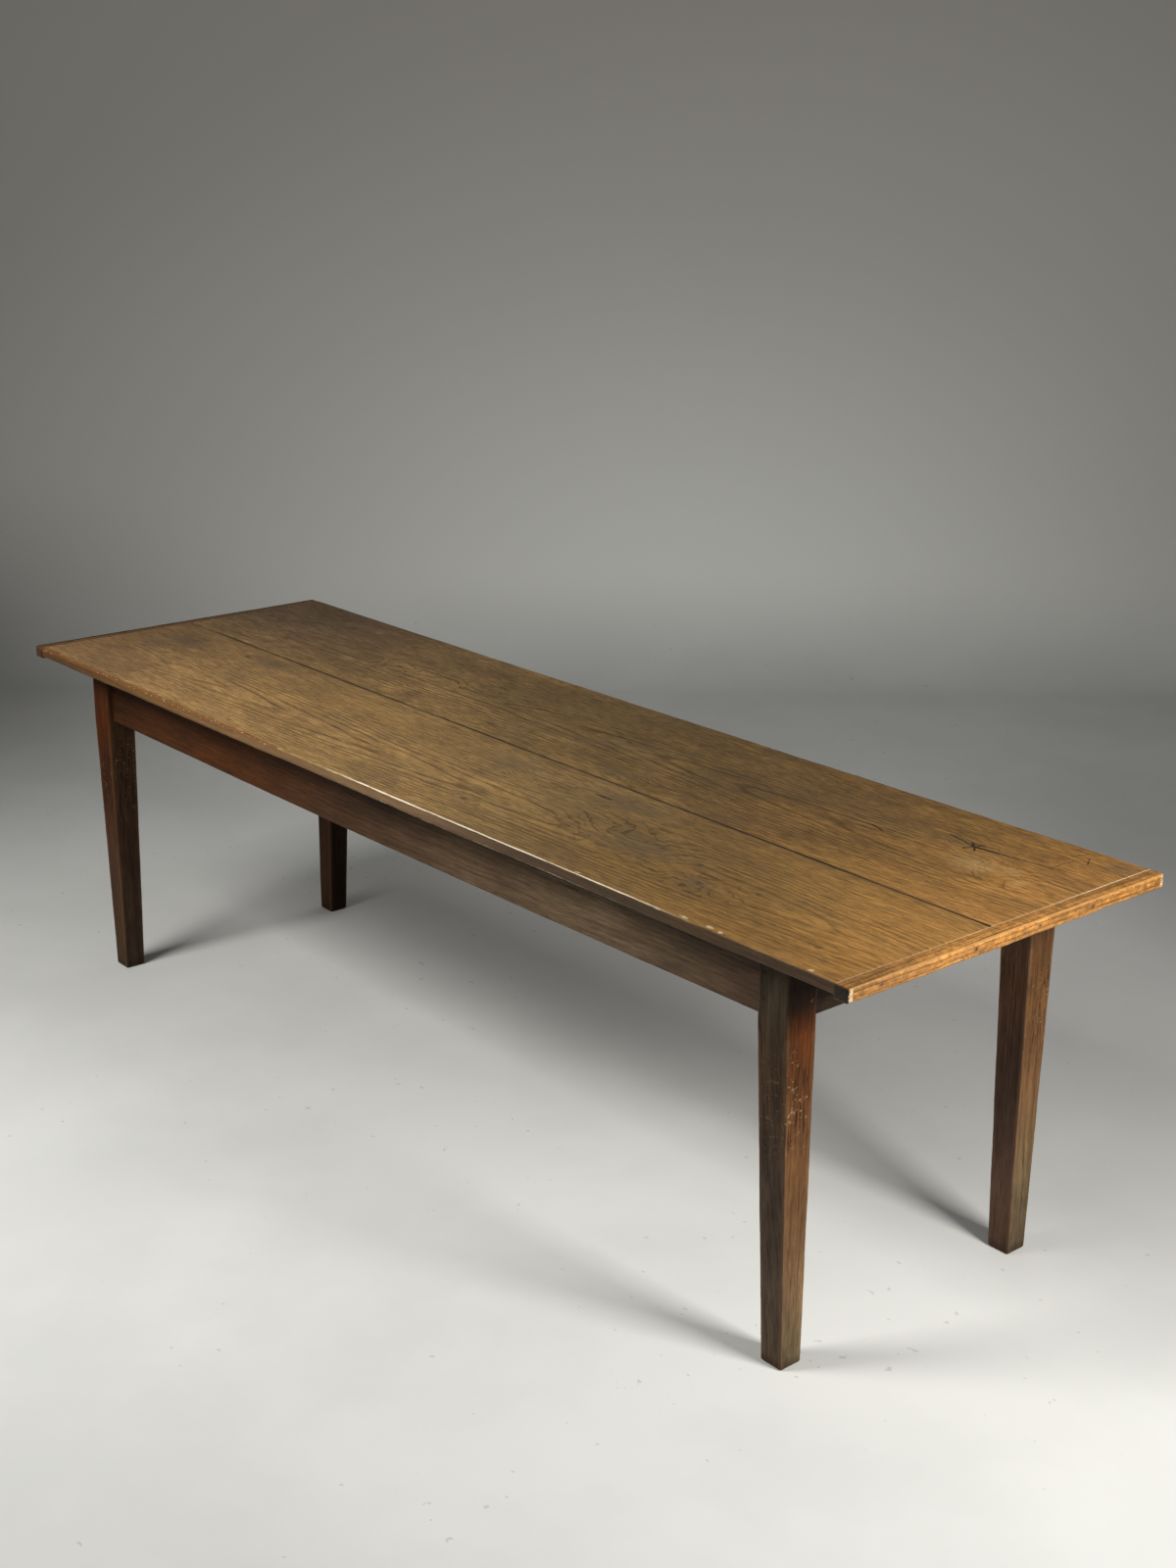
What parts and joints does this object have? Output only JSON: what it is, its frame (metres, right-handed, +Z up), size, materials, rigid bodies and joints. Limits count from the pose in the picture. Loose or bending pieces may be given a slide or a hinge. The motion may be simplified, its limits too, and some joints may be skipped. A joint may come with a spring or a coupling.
{
  "type": "farmhouse dining table",
  "caption": "Long rectangular farmhouse dining table in aged oak: plank top with cleated ends, deep aprons and square tapered legs",
  "frame": {"origin": "on the floor under the middle of the top", "axes": "+X along the table to its right end, +Y across it to the back, +Z up"},
  "size_m": [2.58, 0.77, 0.76],
  "materials": {
    "oak_top": "old waxed oak, worn satin",
    "oak_cleat": "old waxed oak, worn and lighter at the edges",
    "oak_leg": "dark aged oak, rubbed lighter on the outer faces",
    "oak_apron": "dark aged oak, dull",
    "oak_peg": "dark end grain",
    "oak_inner": "bare sawn oak",
    "iron": "dark rusted iron"
  },
  "bodies": {
    "root": {"top_plank_front": "oak_top", "top_plank_back": "oak_top", "seam_tongue": "oak_inner", "end_cleat_left": "oak_cleat", "end_cleat_right": "oak_cleat", "cleat_nails": "iron", "leg_front_left": "oak_leg", "leg_back_left": "oak_leg", "leg_front_right": "oak_leg", "leg_back_right": "oak_leg", "joint_pegs": "oak_peg", "apron_front": "oak_apron", "apron_back": "oak_apron", "apron_left": "oak_apron", "apron_right": "oak_apron", "cross_rail_1": "oak_inner", "cross_rail_2": "oak_inner", "cross_rail_3": "oak_inner", "button_front_1": "oak_inner", "button_front_2": "oak_inner", "button_front_3": "oak_inner", "button_front_4": "oak_inner", "button_back_1": "oak_inner", "button_back_2": "oak_inner", "button_back_3": "oak_inner", "button_back_4": "oak_inner", "button_left_1": "oak_inner", "button_left_2": "oak_inner", "button_right_1": "oak_inner", "button_right_2": "oak_inner", "button_screws": "iron"}
  },
  "joints": []
}
